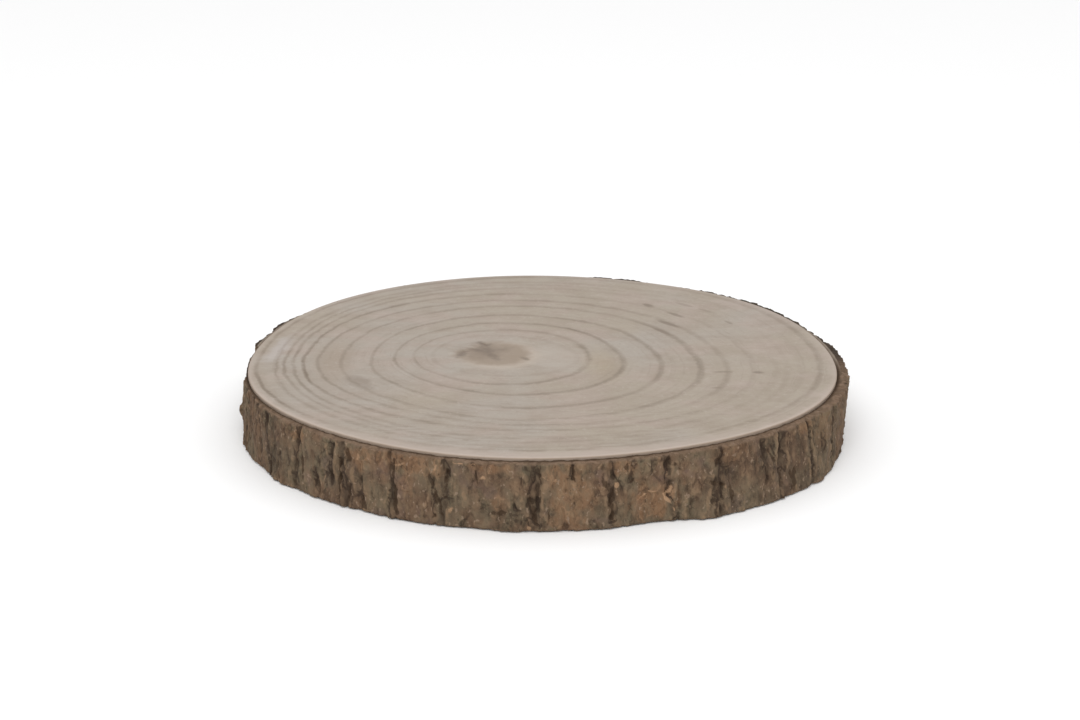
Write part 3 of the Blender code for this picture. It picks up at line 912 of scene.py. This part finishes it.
def wood_material():
    """Pale sawn wood: growth rings with a thin brown line, fine pores, and the streaks of sanding."""
    s = Shader("sawn_wood", 0.62)
    back = s.along_y()
    to_rim = s.mark("to_rim")
    wander = s.noise((1.0, 1.0, 1.0), 70.0, 3.0, 0.6)
    jitter = s.noise((1.0, 1.0, 1.0), 300.0, 2.0, 0.6)
    broad = s.noise((1.0, 1.0, 1.0), 14.0, 2.0)
    pink = s.noise((1.0, 1.3, 1.0), 33.0, 3.0, 0.55)
    cloud = s.noise((1.0, 1.4, 1.0), 60.0, 4.0, 0.6)
    mottle = s.noise((1.0, 1.0, 1.0), 170.0, 3.0, 0.6)
    streak = s.noise((42.0, 430.0, 1.0), 1.0, 3.0, 0.6)
    pores = s.noise((1.0, 0.8, 1.0), 560.0, 3.0, 0.7)

    # Growth rings: millimetres from the nearest line, wavering a little
    ring = s.mark("ring")
    aside = s.shaken(0.0, wander, 2.8, jitter, 1.2)
    age = s.math("ADD", s.mark("age"), s.math("DIVIDE", aside, ring))
    part = s.math("FRACT", age)
    outer = s.math("FRACT", s.math("ADD", age, 0.5))
    to_line = s.times(s.math("ABSOLUTE", s.math("SUBTRACT", outer, 0.5)), ring)
    to_line = s.times(to_line, s.span(s.mark("left"), 0.4, 0.9, 1.0, 1.7))
    near_front = s.span(back, -0.1, -0.03, 0.65, 0.0)
    gaps = s.times(s.span(s.shaken(streak, mottle, 0.6), 0.42, 0.6, 1.0, 0.0), near_front)
    broken = s.math("SUBTRACT", s.span(cloud, 0.34, 0.6, 0.7, 1.0), gaps)
    dark_line = s.times(s.mark("line"), broken)
    line = s.times(s.span(s.shaken(to_line, mottle, 1.0), 0.2, 2.4, 1.0, 0.0), dark_line)
    late_wood = s.times(s.span(part, 0.45, 1.0), s.mark("line"))
    fine = s.noise_along(s.times(age, 6.5), 3.0)
    fine_line = s.times(s.span(fine, 0.54, 0.66), s.span(wander, 0.4, 0.62))

    s.colour = s.mix(s.span(broad, 0.38, 0.62), linear(156, 146, 135), linear(155, 143, 128))
    s.paint(s.span(pink, 0.45, 0.66, 0.0, 0.7), 162, 146, 135)
    s.paint(s.span(cloud, 0.38, 0.72, 0.0, 0.45), 145, 132, 118)
    s.paint(s.span(mottle, 0.52, 0.72, 0.0, 0.35), 166, 153, 142)
    for middle, half_length, half_width, turn, strength, stain in STAINS:
        spot = s.spot(middle, half_length, half_width, turn, cloud, 0.2)
        s.paint(s.times(spot, strength), *stain)
    s.paint(s.times(late_wood, 0.3), 136, 121, 105)
    s.paint(s.times(fine_line, 0.22), 129, 116, 102)
    s.paint(s.times(line, 0.76), 111, 96, 80)
    front = s.span(back, -0.12, -0.02, 0.42, 0.06)
    s.paint(s.times(s.span(streak, 0.52, 0.7), front), 135, 122, 109)
    s.paint(s.span(pores, 0.58, 0.72, 0.0, 0.34), 133, 120, 106)
    s.paint(s.span(pores, 0.3, 0.44, 0.28, 0.0), 174, 164, 152)

    # The darker pith, the pale rim, a few darker spots and a painted highlight along the rounded front edge
    pith = (PITH[0] - CENTRE[0], PITH[1] - CENTRE[1])
    patch = s.spot((pith[0] + 0.5, pith[1] - 2.0), 16.5, 18.5, 0.0, mottle, 0.7, 1.0)
    tail = s.spot((pith[0] - 10.0, pith[1] - 4.0), 11.0, 11.0, 0.0, mottle, 0.5, 1.0)
    patch = s.math("MAXIMUM", patch, s.times(tail, 0.8))
    halo = s.spot((pith[0] + 2.0, pith[1] - 4.0), 22.0, 24.0, 0.0, cloud, 0.7, 1.0)
    heart = s.spot((pith[0] - 6.0, pith[1] + 2.0), 13.0, 15.0, 0.0, mottle, 0.2, 1.0)
    pale_side = s.spot((pith[0] + 28.0, pith[1] - 8.0), 13.0, 24.0, 0.0, cloud)
    s.paint(s.times(pale_side, 0.45), 166, 155, 144)
    s.paint(s.times(halo, 0.35), 168, 156, 144)
    beside = s.spot((pith[0] + 2.5, pith[1] - 4.5), 17.5, 19.5, 0.0, mottle, 0.8, 1.0)
    s.paint(s.times(beside, 0.45), 178, 163, 148)
    s.paint(s.times(patch, 0.85), 137, 121, 104)
    s.paint(s.times(heart, 0.55), 118, 102, 87)
    for middle, half_length, half_width, turn, strength in SPOTS:
        spot = s.spot(middle, 1.3 * half_length, 1.3 * half_width, turn, mottle)
        s.paint(s.times(spot, 0.75 * strength), 115, 100, 86)
    for (x, y), half_length, half_width, turn, strength in PITH_MARKS:
        spot = s.spot((pith[0] + x, pith[1] + y), 1.5 * half_length, 1.7 * half_width, turn, jitter, 0.2)
        s.paint(s.times(spot, 0.7 * strength), 101, 86, 72)
    from_rim = s.shaken(to_rim, cloud, 6.0)
    wide_rim = s.times(s.span(from_rim, 2.0, 11.0, 1.0, 0.0), s.span(back, -0.125, -0.06, 0.65, 0.0))
    thin_rim = s.times(s.span(from_rim, 1.0, 5.0, 1.0, 0.0), s.span(back, -0.06, 0.03, 0.55, 0.15))
    s.paint(s.math("MAXIMUM", wide_rim, thin_rim), 170, 154, 143)
    # Painted highlight: a crisp pale line on the rounded edge of the wood, strongest at the front
    edge_highlight_band = s.span(s.shaken(to_rim, mottle, 3.0), 0.8, 2.4, 0.5, 0.0)
    painted_edge_highlight = s.times(edge_highlight_band, s.span(back, -0.08, -0.02, 1.0, 0.2))
    s.paint(painted_edge_highlight, 182, 168, 155)
    s.paint(s.span(to_rim, 0.1, 0.6, 0.6, 0.0), 139, 118, 99)
    s.paint(s.span(s.mark("crack"), 0.02, 0.32, 0.0, 0.45), 101, 86, 72)

    grain = s.bump(pores, WOOD_BUMP, 0.35)
    sanded = s.bump(streak, WOOD_BUMP, 0.15, grain)
    return s.finished(s.span(cloud, 0.3, 0.7, 0.56, 0.7), s.bump(line, WOOD_BUMP, 0.25, sanded))


def bark_material():
    """Grey-brown bark: flakes of different tones, dark cracks, worn pale edges, warm patches and painted shade
    in its hollows.
    """
    s = Shader("bark", 0.85)
    s.surface.inputs["Specular IOR Level"].default_value = DULL
    fibre = s.noise((1.0, 1.0, 0.36), 480.0, 4.0, 0.62)
    thread = s.noise((1.0, 1.0, 0.2), 900.0, 2.0, 0.6)
    speck = s.noise((1.0, 1.0, 0.8), 1000.0, 3.0, 0.65)
    blotch = s.noise((1.0, 1.0, 0.7), 300.0, 3.0, 0.6, 0.6)
    patch = s.noise((1.0, 1.0, 0.6), 150.0, 4.0, 0.62)
    tint = s.noise((1.0, 1.0, 0.8), 60.0, 3.0, 0.6)
    purple = s.noise((1.0, 1.0, 0.9), 95.0, 2.0, 0.6)
    long_lines = s.cell_lines(s.bent((1.0, 1.0, 0.42), 170.0, 0.006), 150.0, 0.075)
    short_lines = s.cell_lines(s.bent((1.0, 1.0, 0.6), 300.0, 0.003), 310.0, 0.1)

    s.colour = s.mix(s.span(tint, 0.4, 0.6), linear(104, 91, 74), linear(106, 85, 68))
    s.paint(s.span(patch, 0.52, 0.66, 0.0, 0.6), 94, 87, 70)
    s.paint(s.span(patch, 0.3, 0.46, 0.5, 0.0), 118, 94, 74)
    s.paint(s.span(purple, 0.54, 0.7, 0.0, 0.45), 100, 82, 75)
    tone = s.shaken(s.mark("tone"), patch, 0.5)
    s.paint(s.span(tone, 0.15, 0.55, 0.3, 0.0), 73, 59, 47)
    s.paint(s.span(tone, 0.55, 0.9, 0.0, 0.3), 124, 103, 81)
    # Darker patches: partly darker bark, partly painted shade at the sides that turn from the light
    shade = s.span(s.shaken(s.mark("shade"), patch, 1.2), 0.2, 0.9, 0.0, 0.45)
    s.paint(shade, 74, 61, 50)
    warm = s.times(s.mark("warm"), s.span(s.shaken(patch, fibre, 0.5), 0.36, 0.54, 0.3, 1.0))
    s.paint(s.times(warm, 0.7), 130, 97, 71)
    s.paint(s.span(blotch, 0.52, 0.66, 0.0, 0.4), 69, 55, 44)
    s.paint(s.span(blotch, 0.34, 0.46, 0.3, 0.0), 128, 107, 85)
    s.paint(s.span(fibre, 0.54, 0.68, 0.0, 0.35), 63, 51, 40)
    s.paint(s.span(thread, 0.62, 0.74, 0.0, 0.25), 134, 112, 89)
    s.paint(s.span(speck, 0.62, 0.74, 0.0, 0.4), 143, 122, 99)
    chips = s.noise((1.0, 1.0, 0.8), 540.0, 2.0, 0.5)
    s.paint(s.span(chips, 0.62, 0.7, 0.0, 0.55), 147, 126, 107)
    worn = s.span(s.shaken(s.mark("hollow"), speck, 0.3), -0.5, -0.16, 0.45, 0.0)
    s.paint(worn, 136, 112, 88)
    cut = s.shaken(s.mark("cut"), patch, 3.2, blotch, 2.0)
    s.paint(s.span(cut, 0.3, 1.6, 0.0, 0.5), 69, 57, 47)
    # Painted shade: darker where the bark lies below the bark around it
    painted_hollow_shade = s.span(s.shaken(s.mark("hollow"), blotch, 0.5), 0.12, 0.6, 0.0, 0.55)
    s.paint(painted_hollow_shade, 52, 41, 32)

    # Thin cracks: long ones mostly in and beside the fissures, short ones in patches. Then torn flake edges
    beside = s.math("MAXIMUM", s.span(cut, 0.1, 0.8), s.span(tint, 0.52, 0.6, 0.0, 0.6))
    short_cracks = s.times(short_lines, s.span(patch, 0.53, 0.6, 0.0, 0.4))
    cracked = s.math("MAXIMUM", s.times(long_lines, beside), short_cracks)
    torn = s.times(short_lines, s.times(s.mark("warm"), s.span(patch, 0.44, 0.5, 1.0, 0.0)))
    s.paint(s.times(torn, 0.45), 153, 120, 92)
    s.paint(s.times(cracked, 0.65), 50, 39, 32)
    dark_mark = s.shaken(s.mark("dark"), fibre, 0.9, speck, 0.6, blotch, 1.3)
    dark = s.span(dark_mark, 0.36, 0.76, 0.0, 0.74)
    s.paint(dark, 59, 45, 33)
    pale = s.span(s.shaken(s.mark("pale"), fibre, 1.1, blotch, 1.1), 0.36, 0.96, 0.0, 0.76)
    s.paint(pale, 166, 134, 105)
    s.paint(s.times(s.mark("gone"), 0.5), 82, 67, 53)

    # The sawn upper edge: a dark line beside the wood, partly the dark cambium and partly painted shade in the
    # groove, then brown with a broken paler outer edge. At the back it is pale with a dark outer edge
    seen = s.mark("seen")
    beyond = s.shaken(s.mark("beyond"), patch, 0.8)
    lip = s.times(s.span(s.shaken(s.mark("level"), patch, 3.0), 28.1, 29.2), seen)
    s.paint(s.times(lip, 0.35), 132, 110, 93)
    sawn = s.mix(s.span(s.shaken(beyond, blotch, 6.0), 1.4, 3.0), linear(84, 68, 53), linear(124, 102, 84))
    sawn = s.mix(s.span(s.shaken(patch, blotch, 0.6), 0.42, 0.58, 0.75, 0.0), sawn, linear(94, 76, 61))
    sawn = s.mix(s.span(fibre, 0.5, 0.62, 0.0, 0.5), sawn, linear(74, 59, 47))
    sawn = s.mix(s.times(dark, 0.9), sawn, linear(63, 49, 37))
    rind = s.math("ADD", beyond, s.mark("dark_edge"))
    behind = s.mix(s.span(rind, 1.5, 2.3), linear(146, 134, 121), linear(52, 43, 36))
    sawn = s.mix(seen, behind, sawn)
    own = s.span(s.mark("front"), 0.1, 0.6, 0.8, 0.62)
    s.colour = s.mix(s.times(s.mark("face_up"), own), s.colour, sawn)
    # Painted shade in the groove beside the wood, over its dark cambium colour
    from_wood = s.math("SUBTRACT", beyond, s.times(s.mark("front"), 1.1))
    groove = s.times(s.span(from_wood, 0.8, 1.7, 0.85, 0.0), s.span(seen, 0.0, 1.0, 0.25, 1.0))
    s.paint(groove, 69, 53, 40)

    rough = s.bump(speck, BARK_BUMP, 0.5)
    split = s.bump(s.math("SUBTRACT", 0.0, cracked), BARK_BUMP, 0.6, rough)
    return s.finished(s.span(fibre, 0.3, 0.7, 0.78, 0.95), s.bump(fibre, FIBRE_BUMP, 0.5, split))


def dress():
    bark = make_bark(bark_material())
    wood = make_wood(wood_material())
    for piece, slot in ((bark, "bark"), (wood, "wood")):
        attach(piece, "root")
        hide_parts("wood_slice")


def stage():
    floor_shader = Shader("floor", 0.9)
    floor_shader.surface.inputs["Base Color"].default_value = FLOOR_COLOUR
    floor_shader.surface.inputs["Specular IOR Level"].default_value = DULL
    mesh = bpy.data.meshes.new("floor")
    signs = [(-1.0, -1.0), (1.0, -1.0), (1.0, 1.0), (-1.0, 1.0)]
    corners = [(FLOOR_HALF * x, FLOOR_HALF * y, FLOOR_LEVEL) for x, y in signs]
    mesh.from_pydata(corners, [], [(0, 1, 2, 3)])
    mesh.materials.append(floor_shader.material)
    floor = new_object("floor", mesh)


def soft_light(name, place, size, power, aim):
    lamp = bpy.data.lights.new(name, "AREA")
    lamp.shape = "DISK"
    lamp.size = size
    lamp.energy = power
    made = new_object(name, lamp)
    made.location = place
    made.rotation_euler = (Vector(place) - Vector(aim)).to_track_quat("Z", "Y").to_euler()


def light():
    world = bpy.data.worlds.new("studio")
    world.use_nodes = True
    sky = world.node_tree.nodes["Background"]
    sky.inputs["Color"].default_value = SKY_COLOUR
    sky.inputs["Strength"].default_value = SKY_STRENGTH
    bpy.context.scene.world = world
    soft_light("key", KEY_PLACE, KEY_SIZE, KEY_POWER, KEY_AIM)
    bpy.context.scene.view_settings.view_transform = "Standard"


def camera():
    """Place the camera so that AIM_POINT lies at AIM_PIXEL of the photograph, level with the horizon."""
    rise = math.radians(CAMERA_ELEVATION)
    aim = Vector(AIM_POINT)
    place = aim + CAMERA_DISTANCE * Vector((0.0, -math.cos(rise), math.sin(rise)))
    straight = (aim - place).normalized()
    right = Vector((1.0, 0.0, 0.0))
    up = right.cross(straight)
    aside = (AIM_PIXEL[0] - 0.5 * PHOTO_SIZE[0]) / FOCAL_PIXELS
    above = (0.5 * PHOTO_SIZE[1] - AIM_PIXEL[1]) / FOCAL_PIXELS
    ahead = (straight - aside * right - above * up).normalized()
    right = ahead.cross(Vector((0.0, 0.0, 1.0))).normalized()
    up = right.cross(ahead)
    lens = bpy.data.cameras.new("camera")
    lens.sensor_width = SENSOR_WIDTH
    lens.lens = FOCAL_PIXELS / PHOTO_SIZE[0] * SENSOR_WIDTH
    lens.clip_start = 0.01
    made = new_object("camera", lens)
    turned = Matrix((right, up, -ahead)).transposed().to_4x4()
    made.matrix_world = Matrix.Translation(place * 0.001) @ turned
    bpy.context.scene.camera = made


camera()
dress()
stage()
light()
